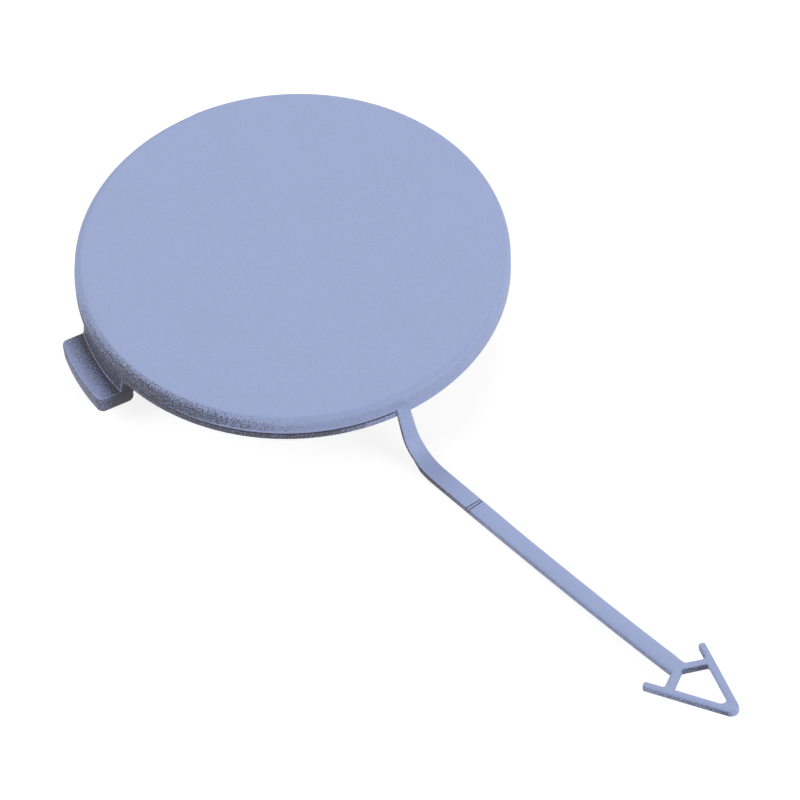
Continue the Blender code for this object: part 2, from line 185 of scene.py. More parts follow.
# %% Face plate
def groove_depth(degrees):
    """Depth of the shadow groove at an angle about the axis."""
    into = min(degrees - GROOVE_START, GROOVE_END - degrees)
    share = clamp(into / GROOVE_FADE)
    return GROOVE_DEPTH * share * share * (3.0 - 2.0 * share)


def plate_profile(degrees):
    """(radius, drop) points from the face's edge, round the rim, to the underside's edge.

    Beside each small rounding a second point keeps the flat next to it flat in the shading."""
    depth = groove_depth(degrees)
    lip = LIP * depth / GROOVE_DEPTH
    wall = PLATE_RADIUS - BEAD * depth / GROOVE_DEPTH
    low = GROOVE_DROP + GROOVE_HEIGHT
    points = [(PLATE_RADIUS - PLATE_ROUND - FLAT_RING, 0.0)]
    points += [(wall - inset, drop) for inset, drop in quarter_round(PLATE_ROUND, ROUND_STEPS)]
    points += [(wall, GROOVE_DROP - 5.0 * LIP),
               (wall, GROOVE_DROP - 4.0 * LIP),
               (PLATE_RADIUS, GROOVE_DROP - 3.0 * LIP),
               (PLATE_RADIUS, GROOVE_DROP - 2.0 * LIP),
               (PLATE_RADIUS, GROOVE_DROP - LIP),
               (PLATE_RADIUS - lip / 2.0, GROOVE_DROP),
               (PLATE_RADIUS - depth, GROOVE_DROP + GROOVE_TAPER),
               (PLATE_RADIUS - depth, low - GROOVE_TAPER),
               (PLATE_RADIUS - lip, low),
               (PLATE_RADIUS - ARC_MIDDLE * lip, low + LIP),
               (PLATE_RADIUS, low + 2.0 * LIP),
               (PLATE_RADIUS, low + 3.0 * LIP),
               (PLATE_RADIUS, RIM_DROP - 3.0 * LIP),
               (PLATE_RADIUS, RIM_DROP - 2.0 * LIP),
               (PLATE_RADIUS - ARC_MIDDLE * LIP, RIM_DROP - LIP),
               (PLATE_RADIUS - LIP, RIM_DROP - ARC_MIDDLE * LIP),
               (PLATE_RADIUS - 2.0 * LIP, RIM_DROP),
               (PLATE_RADIUS - RIM_WIDTH + LIP, RIM_DROP),
               (PLATE_RADIUS - RIM_WIDTH, RIM_DROP - LIP),
               (PLATE_RADIUS - RIM_WIDTH, PLATE_THICK + LIP),
               (PLATE_RADIUS - RIM_WIDTH - LIP, PLATE_THICK)]
    return points


def face_plate():
    """The turned plate, closed by a flat disc above and below."""
    shape = bmesh.new()
    columns = []
    for step in range(TURN_STEPS):
        degrees = 360.0 * step / TURN_STEPS
        column = []
        for radius, drop in plate_profile(degrees):
            x, y = polar(radius, degrees)
            column.append(shape.verts.new((x, y, -drop)))
        columns.append(column)
    for here, there in zip(columns, columns[1:] + columns[:1]):
        stitch(shape, here, there, closed=False)
    shape.faces.new([column[0] for column in columns])
    shape.faces.new([column[-1] for column in columns])
    return as_object("face_plate", shape)


plate = face_plate()

# %% [markdown]
# ## Lug and neck
# The neck is drafted like any moulded wall, and the lug on it reaches past the rim, behind the bumper
# skin. The lug's plan is an arc between two rounded corners. It is lofted from one plan to the other, its
# lower inner edge gets a large rounding, and then all edges are softened.

# %% Lug and neck: sizes
LUG_WIDTH = 15.2
LUG_REACH = 41.55            # plate's axis to the lug's outer end
LUG_TOP = 8.15               # face to the lug's top
LUG_BOTTOM = 11.6            # face to its lower side
LUG_INNER = 34.4             # plate's axis to its flat inner end
LUG_CORNER = 1.2             # rounding of its outer corners, seen from above
LUG_HEEL = 1.1               # rounding of its lower inner edge
LUG_EDGE = 0.3               # rounding of its other edges
LUG_DRAFT = 0.15             # how far it draws in toward its lower side
NECK_RADIUS = 37.4           # plate's axis to the neck's face, at its foot
NECK_DRAFT = 0.4             # how much further in that face is at the rim
NECK_STEP = 0.05             # how far the neck's side faces stand behind the lug's
FOOT_FILLET = 0.22           # rounding between the neck and the lug's top
ARC_STEPS = 24
CORNER_STEPS = 6
HEEL_STEPS = 6
FOOT_STEPS = 4
print("the lug stands out", round(LUG_REACH - PLATE_RADIUS, 2), "mm and leaves",
      round(LUG_TOP - RIM_DROP, 2), "mm for the bumper skin")

# %% Lug and neck
def arc_plan(radius, half_width):
    """Arc on the lug's side, closed by the lug's flat inner end."""
    limit = math.degrees(math.asin(half_width / radius))
    arc = [polar(radius, 180.0 - limit + 2.0 * limit * step / ARC_STEPS) for step in range(ARC_STEPS + 1)]
    return arc + [(-LUG_INNER, -half_width), (-LUG_INNER, half_width)]


def lug_plan(inset):
    """Plan of the lug with rounded outer corners, drawn in by an inset."""
    corner_y = LUG_WIDTH / 2.0 - inset - LUG_CORNER
    corner_x = math.sqrt((LUG_REACH - inset - LUG_CORNER) ** 2 - corner_y ** 2)
    tangent = math.degrees(math.atan2(corner_y, corner_x))
    plan = []
    for step in range(CORNER_STEPS + 1):
        x, y = polar(LUG_CORNER, 90.0 + (90.0 - tangent) * step / CORNER_STEPS)
        plan.append((x - corner_x, y + corner_y))
    for step in range(1, ARC_STEPS):
        plan.append(polar(LUG_REACH - inset, 180.0 - tangent + 2.0 * tangent * step / ARC_STEPS))
    for step in range(CORNER_STEPS + 1):
        x, y = polar(LUG_CORNER, 180.0 + tangent + (90.0 - tangent) * step / CORNER_STEPS)
        plan.append((x - corner_x, y - corner_y))
    return plan + [(-LUG_INNER, inset - LUG_WIDTH / 2.0), (-LUG_INNER, LUG_WIDTH / 2.0 - inset)]


def locating_lug():
    """The block that goes behind the bumper skin."""
    shape = bmesh.new()
    loft(shape, [at_drop(lug_plan(LUG_DRAFT), LUG_BOTTOM), at_drop(lug_plan(0.0), LUG_TOP)])
    heel = [edge for edge in shape.edges
            if all(abs(v.co.x + LUG_INNER) < WELD and abs(v.co.z + LUG_BOTTOM) < WELD for v in edge.verts)]
    bmesh.ops.bevel(shape, geom=heel, offset=LUG_HEEL, offset_type="OFFSET", segments=HEEL_STEPS,
                    profile=0.5, affect="EDGES")
    soften(shape, LUG_EDGE)
    return as_object("locating_lug", shape)


def lug_neck():
    """The drafted wall between the rim and the lug."""
    shape = bmesh.new()
    half = LUG_WIDTH / 2.0 - NECK_STEP
    foot = (LUG_TOP + LUG_BOTTOM - LUG_HEEL) / 2.0
    rings = [at_drop(arc_plan(NECK_RADIUS + FOOT_FILLET, half), foot)]
    for inset, drop in quarter_round(FOOT_FILLET, FOOT_STEPS):
        rings.append(at_drop(arc_plan(NECK_RADIUS + inset, half), LUG_TOP - drop))
    rings.append(at_drop(arc_plan(NECK_RADIUS - NECK_DRAFT, half), RIM_DROP - LIP * 2.0))
    loft(shape, rings)
    soften(shape, LIP)
    return as_object("lug_neck", shape)


lug = locating_lug()
neck = lug_neck()

# %% [markdown]
# ## Snap tongue
# Across from the lug a springy tongue hangs from the plate. Its catch clicks behind the skin. Its side
# view holds all of its form, so the side view is drawn once and carried across the tongue's width.

# %% Snap tongue
SNAP_WIDTH = 10.0
SNAP_FACE = 32.4             # plate's axis to the tongue's outer face
SNAP_THICK = 1.5
SNAP_CATCH = 1.5             # how far the catch stands out
SNAP_CATCH_HEIGHT = 3.2
SNAP_ROOT = 1.2              # slope that thickens the tongue's root
SNAP_EDGE = 0.15             # rounding of all its edges
BITE = 0.6                   # how far joined shapes run into each other


def snap_tongue():
    """Side view of the tongue, as (distance from the axis, drop), carried across its width."""
    back = SNAP_FACE - SNAP_THICK
    sunk = PLATE_THICK - BITE
    low = LUG_TOP + SNAP_CATCH_HEIGHT
    side_view = [(back - SNAP_ROOT, sunk), (SNAP_FACE, sunk), (SNAP_FACE, LUG_TOP),
                 (SNAP_FACE + SNAP_CATCH, LUG_TOP), (SNAP_FACE + SNAP_CATCH, LUG_TOP + SNAP_THICK / 2.0),
                 (SNAP_FACE, low), (back, low), (back, PLATE_THICK + SNAP_ROOT),
                 (back - SNAP_ROOT, PLATE_THICK)]
    shape = bmesh.new()
    loft(shape, [[(x, side * SNAP_WIDTH / 2.0, -drop) for x, drop in side_view] for side in (-1.0, 1.0)])
    soften(shape, SNAP_EDGE)
    return as_object("snap_tongue", shape)


snap = snap_tongue()

# %% [markdown]
# ## Strap and arrow
# The strap is a flat section carried along a path: down out of the rim, round a bend, and then nearly
# level. The arrow at its end is a flat plate with a hole. A mould makes the two in one shot, so they
# are one skin here too. Each level of the rounded edge is an outline drawn in by a small inset, and the
# strap's section uses the same levels, so the rounding runs on from the strap round the arrow.

# %% Strap: sizes
STRAP_WIDTH = 3.08
ROOT_WIDTH = 2.62
WIDEN_LENGTH = 8.0           # length over which it grows to the full width
HINGE_THICK = 0.58           # its thin first part, which flexes by hand
STRAP_THICK = 1.36
HINGE_LENGTH = 10.0          # length of that part
THICKEN_LENGTH = 2.0         # length over which it then thickens

STRAP_ROOT_ANGLE = 274.8     # direction of the root's outer corner, in degrees about the plate's axis
STRAP_ROOT_RADIUS = 37.32
STRAP_ROOT_DROP = 2.95       # face to the root's upper edge
STRAP_SWING = 14.8           # degrees that the strap turns from -Y toward +X
ROOT_SINK = 1.5              # length buried in the rim above the root
ROOT_SINK_TILT = 22.0        # degrees by which that leans inward

LEAN_LENGTH = 5.2            # straight run down out of the rim
LEAN_HEADING = -73.5         # degrees above the horizontal, as all headings
BEND_RADIUS = 7.02           # bend from there to the level run
LEVEL_HEADING = 0.1
LEVEL_LENGTH = 36.0
RISE_HEADING = 2.35
RISE_LENGTH = 22.0
END_HEADING = 5.2
STATION = 0.5                # spacing of the strap's sections
print("the strap swings", STRAP_SWING, "degrees away from the plate's own line")

# %% Path of the strap
swing = math.radians(STRAP_SWING)
OUTWARD = Vector((math.sin(swing), -math.cos(swing), 0.0))
ACROSS = Vector((math.cos(swing), math.sin(swing), 0.0))
UP = Vector((0.0, 0.0, 1.0))


def strap_path():
    """Points of the path as (run outward, height, heading in degrees, length so far)."""
    path = [(0.0, -STRAP_ROOT_DROP, LEAN_HEADING, 0.0)]
    legs = [(LEAN_LENGTH, LEAN_HEADING, LEAN_HEADING),
            (BEND_RADIUS * math.radians(LEVEL_HEADING - LEAN_HEADING), LEAN_HEADING, LEVEL_HEADING),
            (LEVEL_LENGTH, LEVEL_HEADING, RISE_HEADING),
            (RISE_LENGTH, RISE_HEADING, END_HEADING)]
    for length, heading_a, heading_b in legs:
        count = round(length / STATION)
        stride = length / count
        for step in range(count):
            run, height, _, travelled = path[-1]
            middle = math.radians(between(heading_a, heading_b, (step + 0.5) / count))
            path.append((run + stride * math.cos(middle), height + stride * math.sin(middle),
                         between(heading_a, heading_b, (step + 1) / count), travelled + stride))
    sunk = math.radians(LEAN_HEADING + 180.0 + ROOT_SINK_TILT)
    path.insert(0, (ROOT_SINK * math.cos(sunk), ROOT_SINK * math.sin(sunk) - STRAP_ROOT_DROP,
                    LEAN_HEADING, -ROOT_SINK))
    return path


PATH = strap_path()
root_x, root_y = polar(STRAP_ROOT_RADIUS, STRAP_ROOT_ANGLE)
ROOT = Vector((root_x, root_y, 0.0)) - ACROSS * (ROOT_WIDTH / 2.0)
print("strap path is", round(PATH[-1][3], 1), "mm long")


# %% [markdown]
# A fine mark crosses the strap a third of the way along: two shallow lines, close together, where two
# inserts of the mould met. It is made in the mesh, and its lines are also darkened in the paint, which is
# painted shade. The sections there stand close together and a little askew, and the ones that lie on a
# line are lowered.

# %% Mark across the strap
MARK_LINES = ((22.95, 23.3), (23.6, 23.75))   # length along the strap at the left and the right edge
MARK_WIDTH = 0.28
MARK_DEPTH = 0.3
MARK_CLEAR = 0.1                              # room kept free of other sections beside the mark


def mark_stations():
    """Sections at the mark, as (length at the left edge, length at the right edge, depth)."""
    half = MARK_WIDTH / 2.0
    stations = []
    for left, right in MARK_LINES:
        stations += [(left - half, right - half, 0.0),
                     (left, right, MARK_DEPTH),
                     (left + half, right + half, 0.0)]
    return stations


print("sections at the mark:", len(mark_stations()))

# %% Section of the strap
STRAP_EDGE = 0.16            # rounding along the strap's edges
ARROW_EDGE = 0.4             # rounding of the arrow's upper edges, which the strap takes over on its way
EDGE_GROWS = (26.0, 8.0)     # length along the strap at which that begins, and over which it comes
EDGE_LIMIT = 3.0             # the rounding is at most the thickness divided by this
EDGE_STEPS = 4


def blend(travelled, start, length, first, last):
    """Value that runs from first to last over a length that begins at start."""
    return between(first, last, clamp((travelled - start) / length))


def edge_levels(thick, upper_radius, lower_radius):
    """(inset, depth) levels from the upper face round both edges to the lower face."""
    lower = [(inset, thick - drop) for inset, drop in quarter_round(lower_radius, EDGE_STEPS)]
    return quarter_round(upper_radius, EDGE_STEPS) + lower[::-1]


def place_on_path(length):
    """Point, heading and travelled length at any length along the path."""
    for first, second in zip(PATH, PATH[1:]):
        if length <= second[3]:
            share = (length - first[3]) / (second[3] - first[3])
            return tuple(between(a, b, share) for a, b in zip(first, second))
    return PATH[-1]


def strap_section(length_left, length_right, sunk=0.0):
    """Closed loop of the strap's section: down the right edge's levels, then up the left edge's."""
    loop = []
    for side, length in ((1.0, length_right), (-1.0, length_left)):
        run, height, heading, travelled = place_on_path(length)
        tilt = math.radians(heading)
        down = OUTWARD * math.sin(tilt) - UP * math.cos(tilt)
        middle = ROOT + OUTWARD * run + UP * height
        thick = blend(travelled, HINGE_LENGTH, THICKEN_LENGTH, HINGE_THICK, STRAP_THICK)
        half = blend(travelled, 0.0, WIDEN_LENGTH, ROOT_WIDTH, STRAP_WIDTH) / 2.0
        radius = min(STRAP_EDGE, thick / EDGE_LIMIT)
        upper_radius = blend(travelled, EDGE_GROWS[0], EDGE_GROWS[1], radius, ARROW_EDGE)
        levels = edge_levels(thick, upper_radius, radius)
        points = [middle + ACROSS * (side * (half - inset)) + down * max(depth, sunk)
                  for inset, depth in levels]
        loop += points if side > 0.0 else list(reversed(points))
    return loop


print("points in a section:", len(strap_section(0.0, 0.0)))

# %% Arrow: sizes
ARROW_THICK = 1.29
ARROW_LEG = 1.25             # width of a leg
ARROW_STRUT = 1.48           # width of a strut
ARROW_HALF_ANGLE = 22.2      # degrees between a leg and the arrow's axis
ARROW_STRUT_ANGLE = 61.0     # degrees between a strut and the arrow's axis
ARROW_APEX = 16.1            # origin to where the legs' outer edges would meet
ARROW_BARB_BACK = 1.17       # how far the barbs reach back past the origin
ARROW_TAIL = 1.5             # straight stub that the strap runs into
ARROW_DRAFT = 0.26           # how much wider one leg's upper face is than its lower one
ARROW_TIP_ROUND = 1.33
ARROW_HOLE_ROUND = 0.75
ARROW_BARB_ROUND = 0.45

ARROW_SHIFT = -0.13          # end of the strap's path to the arrow's origin, where the struts fork
ARROW_HEADING = 8.8          # degrees above the horizontal
ARROW_TURN = -1.1            # degrees in its own plane, away from the strap's line
ARROW_TWIST = -2.5           # degrees about its own axis
print("the arrow is about", round(ARROW_APEX + ARROW_BARB_BACK, 1), "mm long")


# %% Outline of the arrow
def meet(point_a, degrees_a, point_b, degrees_b):
    """Point where two lines in a plane cross, each given by a point and a direction."""
    ax, ay = math.cos(math.radians(degrees_a)), math.sin(math.radians(degrees_a))
    bx, by = math.cos(math.radians(degrees_b)), math.sin(math.radians(degrees_b))
    gap_x, gap_y = point_b[0] - point_a[0], point_b[1] - point_a[1]
    along = (gap_x * by - gap_y * bx) / (ax * by - ay * bx)
    return point_a[0] + along * ax, point_a[1] + along * ay


def arrow_corners(lean):
    """Clockwise (x, y, radius) corners of the arrow and of its hole, with x along the strap.

    One side of the hole leans in, which makes that leg wider."""
    half = STRAP_WIDTH / 2.0
    leg = 180.0 - ARROW_HALF_ANGLE
    apex = (ARROW_APEX, 0.0)
    inner_apex = (ARROW_APEX - ARROW_LEG / math.sin(math.radians(ARROW_HALF_ANGLE)), 0.0)
    barb_outer = meet(apex, leg, meet(apex, leg, (-ARROW_BARB_BACK, 0.0), 90.0), leg - 90.0)
    barb_inner = meet(inner_apex, leg, barb_outer, leg - 90.0)
    strut_outer = meet((0.0, half), ARROW_STRUT_ANGLE, inner_apex, leg)
    strut = math.radians(ARROW_STRUT_ANGLE)
    strut_start = (ARROW_STRUT * math.sin(strut), half - ARROW_STRUT * math.cos(strut))
    strut_inner = meet(strut_start, ARROW_STRUT_ANGLE, inner_apex, leg)
    hole_back = meet(strut_start, ARROW_STRUT_ANGLE, (0.0, 0.0), 0.0)
    upper = [(-ARROW_TAIL, half, 0.0), (0.0, half, ARROW_BARB_ROUND), (*strut_outer, ARROW_BARB_ROUND),
             (*barb_inner, ARROW_BARB_ROUND), (*barb_outer, ARROW_BARB_ROUND)]
    lower = [(x, -y, radius) for x, y, radius in reversed(upper)]
    leaned_apex = (inner_apex[0] - lean / math.sin(math.radians(ARROW_HALF_ANGLE)), 0.0)
    leaned_strut = meet(strut_start, ARROW_STRUT_ANGLE, leaned_apex, leg)
    hole_apex = meet(leaned_apex, leg, inner_apex, -leg)
    hole = [(*hole_back, ARROW_BARB_ROUND), (*leaned_strut, ARROW_BARB_ROUND),
            (*hole_apex, ARROW_HOLE_ROUND), (strut_inner[0], -strut_inner[1], ARROW_BARB_ROUND)]
    return upper + [(*apex, ARROW_TIP_ROUND)] + lower, hole


def drawn_in(corners, inset):
    """Clockwise outline with every side moved inward: outer corners tighten, inner ones open up."""
    moved = []
    for index, (x, y, radius) in enumerate(corners):
        here = Vector((x, y))
        before = (here - Vector(corners[index - 1][:2])).normalized()
        after = (Vector(corners[(index + 1) % len(corners)][:2]) - here).normalized()
        inward_a, inward_b = Vector((before.y, -before.x)), Vector((after.y, -after.x))
        mitre = (inward_a + inward_b).normalized()
        here += mitre * (inset / mitre.dot(inward_a))
        opened = radius + inset if before.cross(after) > 0.0 else radius - inset
        moved.append((here.x, here.y, opened if radius > 0.0 else 0.0))
    return moved


def rounded(corners):
    """Closed outline from (x, y, corner radius) entries, each corner replaced by an arc."""
    outline = []
    for index, (x, y, radius) in enumerate(corners):
        if radius <= 0.0:
            outline.append((x, y))
            continue
        here = Vector((x, y))
        before = (Vector(corners[index - 1][:2]) - here).normalized()
        after = (Vector(corners[(index + 1) % len(corners)][:2]) - here).normalized()
        half = before.angle(after) / 2.0
        centre = here + (before + after).normalized() * (radius / math.sin(half))
        start = here + before * (radius / math.tan(half)) - centre
        sweep = start.angle_signed(here + after * (radius / math.tan(half)) - centre)
        for step in range(CORNER_STEPS + 1):
            turn = -sweep * step / CORNER_STEPS
            outline.append((centre.x + start.x * math.cos(turn) - start.y * math.sin(turn),
                            centre.y + start.x * math.sin(turn) + start.y * math.cos(turn)))
    return outline


def arrow_outlines(inset, lean=0.0):
    """Outline and hole at one level of the rounded edge. The tail, where the strap joins, stays square."""
    corners, hole = arrow_corners(lean)
    moved = drawn_in(corners, inset)
    moved[0] = (-ARROW_TAIL, moved[0][1], 0.0)
    moved[-1] = (-ARROW_TAIL, moved[-1][1], 0.0)
    return rounded(moved), rounded(drawn_in(hole, -inset))


print("arrow outline has", len(arrow_outlines(0.0)[0]), "points")


# %% Strap and arrow as one skin
def arrow_frame():
    """Origin and the directions along, across and down of the arrow's own plane."""
    end_run, end_height = PATH[-1][0], PATH[-1][1]
    pitch, turn, twist = (math.radians(value) for value in (ARROW_HEADING, ARROW_TURN, ARROW_TWIST))
    level_axis = OUTWARD * math.cos(pitch) + UP * math.sin(pitch)
    level_up = level_axis.cross(ACROSS)
    axis = level_axis * math.cos(turn) + ACROSS * math.sin(turn)
    level_across = ACROSS * math.cos(turn) - level_axis * math.sin(turn)
    across = level_across * math.cos(twist) + level_up * math.sin(twist)
    down = level_across * math.sin(twist) - level_up * math.cos(twist)
    origin = ROOT + OUTWARD * end_run + UP * end_height + axis * ARROW_SHIFT
    return origin, axis, across, down


def strap_lengths():
    """Where the strap's sections stand, as (length at the left edge, length at the right edge, depth)."""
    mark = mark_stations()
    last = PATH[-1][3] + ARROW_SHIFT - ARROW_TAIL - STATION
    lengths = [-ROOT_SINK] + [STATION * step for step in range(int(last / STATION) + 1)]
    before = [(length, length, 0.0) for length in lengths if length < mark[0][0] - MARK_CLEAR]
    behind = [(length, length, 0.0) for length in lengths if length > mark[-1][1] + MARK_CLEAR]
    return before + mark + behind


def strap_and_arrow():
    """One closed skin: the strap's sections run into the levels of the arrow's tail."""
    shape = bmesh.new()
    origin, axis, across, down = arrow_frame()
    outers, holes = [], []
    for inset, depth in edge_levels(ARROW_THICK, ARROW_EDGE, STRAP_EDGE):
        lean = ARROW_DRAFT * (1.0 - depth / ARROW_THICK)
        outer, hole = arrow_outlines(inset)[0], arrow_outlines(inset * STRAP_EDGE / ARROW_EDGE, lean)[1]
        for rims, outline in ((outers, outer), (holes, hole)):
            rims.append([shape.verts.new(origin + axis * x + across * y + down * depth)
                         for x, y in outline])
        if depth in (0.0, ARROW_THICK):
            corners = outers[-1] + holes[-1]
            flat = [[Vector((x, y, 0.0)) for x, y in outline] for outline in (outer, hole)]
            for triple in tessellate_polygon(flat):
                shape.faces.new([corners[index] for index in triple])
    for rims, closed in ((outers, False), (holes, True)):
        for upper, lower in zip(rims, rims[1:]):
            stitch(shape, upper, lower, closed)
    sections = []
    for left, right, sunk in strap_lengths():
        sections.append([shape.verts.new(point) for point in strap_section(left, right, sunk)])
    sections.append([rim[0] for rim in outers] + [rim[-1] for rim in reversed(outers)])
    shape.faces.new(sections[0])
    for first, second in zip(sections, sections[1:]):
        stitch(shape, first, second)
    return as_object("strap_and_arrow", shape)


strap = strap_and_arrow()

# %% [markdown]
# ## Paint
# The cover is dark ABS, sprayed in a satin silver-blue and finished with a clear coat. Surfaces that face
# the gun are fully covered. Walls that turn away only catch dry spray, so the dark plastic shows through
# between the specks. The gun is set on the side of the strongest lamp, so the dark on faces turned from it
# is partly that thin coat and partly painted shade. An image could be painted for that, but it would have
# to be unwrapped onto every edge. Here the facing toward the gun, an attribute of the mesh that also holds
# painted shade and a painted highlight, and a speckle noise together decide where the coat closes. The real
# specks are finer than a pixel, so they are drawn as coarse as they need to show.

# %% Node helpers
def node(tree, kind, settings=None, **links):
    """Add a node, set its properties, and set or link its inputs by name (spaces as underscores)."""
    made = tree.nodes.new(kind)
    for key, value in (settings or {}).items():
        setattr(made, key, value)
    for key, value in links.items():
        socket = made.inputs[int(key[1:])] if key[1:].isdigit() else made.inputs[key.replace("_", " ")]
        if isinstance(value, bpy.types.NodeSocket):
            tree.links.new(value, socket)
        else:
            socket.default_value = value
    return made


def maths(tree, operation, *values):
    """Output of a Math node that works on values or sockets."""
    inputs = {f"_{index}": value for index, value in enumerate(values)}
    return node(tree, "ShaderNodeMath", {"operation": operation}, **inputs).outputs[0]


def new_material(name):
    """Material, with its node tree and its main shader."""
    material = bpy.data.materials.new(name)
    material.use_nodes = True
    return material, material.node_tree, material.node_tree.nodes["Principled BSDF"]


print("one function adds every node")

# %% Colours and scales
def linear(hex_colour):
    """Linear RGBA from an sRGB hex value."""
    channels = [int(hex_colour[start:start + 2], 16) / 255.0 for start in (1, 3, 5)]
    return [c / 12.92 if c <= 0.04045 else ((c + 0.055) / 1.055) ** 2.4 for c in channels] + [1.0]


FULL_COAT = linear("#A2B0D9")
BARE_ABS = linear("#4E4B57")
# The gun stands on the side of the strongest lamp, right_front, so the cover from this slope also darkens
# faces that turn from that lamp: partly painted shade.
SPRAY_AND_KEY_LIGHT = Vector((0.27, -0.42, 0.87)).normalized()   # where the gun stood, seen from the plate
COVER_GAIN = 3.8              # cover of a surface that faces the gun squarely; 1 is a closed coat
SPECK_SIZE = 0.20 * MM        # drawn coarser than the real specks
SPECK_SPREAD = 3.0            # how far the specks scatter about the mean cover
MOTTLE_SIZE = 0.4 * MM        # fine cloudiness of a thin metallic coat
MOTTLE_DEPTH = 0.05           # part by which that makes the colour lighter and darker
NOISE_SPAN = (0.3, 0.7)       # where most values of a fine noise lie
CLOUD_SIZE = 9.0 * MM         # slow unevenness of a hand-sprayed coat
CLOUD_DEPTH = 0.025
GRAIN_SIZE = 0.35 * MM        # orange peel and dry spray
GRAIN_HEIGHT = 0.02 * MM
GRAIN_STRENGTH = 0.35
GLOSS = {"Roughness": 0.6, "Metallic": 0.05, "Specular IOR Level": 0.25,
         "Coat Weight": 0.15, "Coat Roughness": 0.35}   # a satin coat: soft highlight, little mirror
print("closed coat, linear:", [round(channel, 3) for channel in FULL_COAT[:3]])


# %% Paint material
def satin_metallic_paint():
    """Satin metallic with clear coat on dark ABS: closed on top, speckled where the spray ran out."""
    material, tree, surface = new_material("satin_metallic_paint_on_abs")
    place = node(tree, "ShaderNodeTexCoord").outputs["Object"]
    speck = node(tree, "ShaderNodeTexNoise", None, Vector=place, Scale=1.0 / SPECK_SIZE, Detail=1.0)
    grain = node(tree, "ShaderNodeTexNoise", None, Vector=place, Scale=1.0 / GRAIN_SIZE, Detail=3.0)
    mottle = node(tree, "ShaderNodeTexNoise", None, Vector=place, Scale=1.0 / MOTTLE_SIZE, Detail=3.0)
    cloud = node(tree, "ShaderNodeTexNoise", None, Vector=place, Scale=1.0 / CLOUD_SIZE, Detail=2.0)
    normal = node(tree, "ShaderNodeNewGeometry").outputs["Normal"]
    # Faces turned from the gun, and so from the strongest lamp, get less coat and show dark ABS: partly
    # thin coat, partly painted shade.
    facing = node(tree, "ShaderNodeVectorMath", {"operation": "DOT_PRODUCT"}, _0=normal, _1=SPRAY_AND_KEY_LIGHT)
    held = maths(tree, "MAXIMUM", facing.outputs["Value"], 0.0)
    # This attribute also carries painted shade and a painted highlight, set place by place.
    cover_and_light_offset = node(tree, "ShaderNodeAttribute", {"attribute_name": "cover_and_painted_light"}).outputs["Fac"]
    short = maths(tree, "ADD", cover_and_light_offset, -SPECK_SPREAD / 2.0)
    mean = maths(tree, "MULTIPLY_ADD", held, COVER_GAIN, short)
    broken = maths(tree, "MULTIPLY_ADD", speck.outputs[0], SPECK_SPREAD, mean)
    closed = node(tree, "ShaderNodeMapRange", {"interpolation_type": "SMOOTHSTEP"}, Value=broken)
    coat = node(tree, "ShaderNodeMix", {"data_type": "RGBA"},
                _0=closed.outputs[0], _6=BARE_ABS, _7=FULL_COAT)
    slow = node(tree, "ShaderNodeMapRange", None, Value=cloud.outputs[0],
                To_Min=1.0 - CLOUD_DEPTH, To_Max=1.0 + CLOUD_DEPTH)
    fine = node(tree, "ShaderNodeMapRange", None, Value=mottle.outputs[0],
                From_Min=NOISE_SPAN[0], From_Max=NOISE_SPAN[1],
                To_Min=1.0 - MOTTLE_DEPTH, To_Max=1.0 + MOTTLE_DEPTH)
    both = maths(tree, "MULTIPLY", slow.outputs[0], fine.outputs[0])
    tinted = node(tree, "ShaderNodeVectorMath", {"operation": "SCALE"}, _0=coat.outputs[2], Scale=both)
    tree.links.new(tinted.outputs[0], surface.inputs["Base Color"])
    bump = node(tree, "ShaderNodeBump", None, Strength=GRAIN_STRENGTH, Distance=GRAIN_HEIGHT,
                Height=grain.outputs[0])
    tree.links.new(bump.outputs[0], surface.inputs["Normal"])
    for socket, value in GLOSS.items():
        surface.inputs[socket].default_value = value
    return material


paint = satin_metallic_paint()
print("made", paint.name)

# %% [markdown]
# ## Ribs and ejector marks
# The underside has what such a moulding needs: thin ribs that keep the large face flat, and the round
# prints of the pins that push it out of the mould. Both repeat, so two small Geometry Nodes trees make
# them: a row of bars, and pads on a ring. Their sizes are inputs of the trees, and each tree ends by
# making its copies real and giving them the paint.

# %% Geometry Nodes helper
def run_tree(name, build, sizes):
    """Run a Geometry Nodes tree with named inputs once and keep its result as a plain mesh."""
    tree = bpy.data.node_groups.new(name, "GeometryNodeTree")
    tree.interface.new_socket("Geometry", in_out="OUTPUT", socket_type="NodeSocketGeometry")
    identifiers = {}
    for label, value in sizes.items():
        kind = "NodeSocketInt" if isinstance(value, int) else "NodeSocketFloat"
        identifiers[label] = tree.interface.new_socket(label, in_out="INPUT", socket_type=kind).identifier
    sources = node(tree, "NodeGroupInput").outputs
    real = node(tree, "GeometryNodeRealizeInstances", None, Geometry=build(tree, sources))
    painted = node(tree, "GeometryNodeSetMaterial", None, Geometry=real.outputs[0], Material=paint)
    tree.links.new(painted.outputs[0], node(tree, "NodeGroupOutput").inputs[0])
    holder = in_scene(name, bpy.data.meshes.new(name))
    modifier = holder.modifiers.new(name, "NODES")
    modifier.node_group = tree
    for label, value in sizes.items():
        modifier[identifiers[label]] = value
    bpy.context.view_layer.update()
    graph = bpy.context.evaluated_depsgraph_get()
    mesh = bpy.data.meshes.new_from_object(holder.evaluated_get(graph))
    bpy.data.objects.remove(holder)
    print(name, "has", len(mesh.polygons), "faces")
    return in_scene(name, mesh)


print("the trees give their meshes", paint.name)

# %% Rows of ribs
RIB_THICK = 1.2
RIB_DROP = 4.0               # face to the long rib's lower edge
CROSS_RIB_OFFSET = 13.0      # plate's axis to each cross rib
CROSS_RIB_STEP = 0.3         # how much shallower the cross ribs are than the long one
RIB_EDGE = 0.12              # rounding of a rib's edges


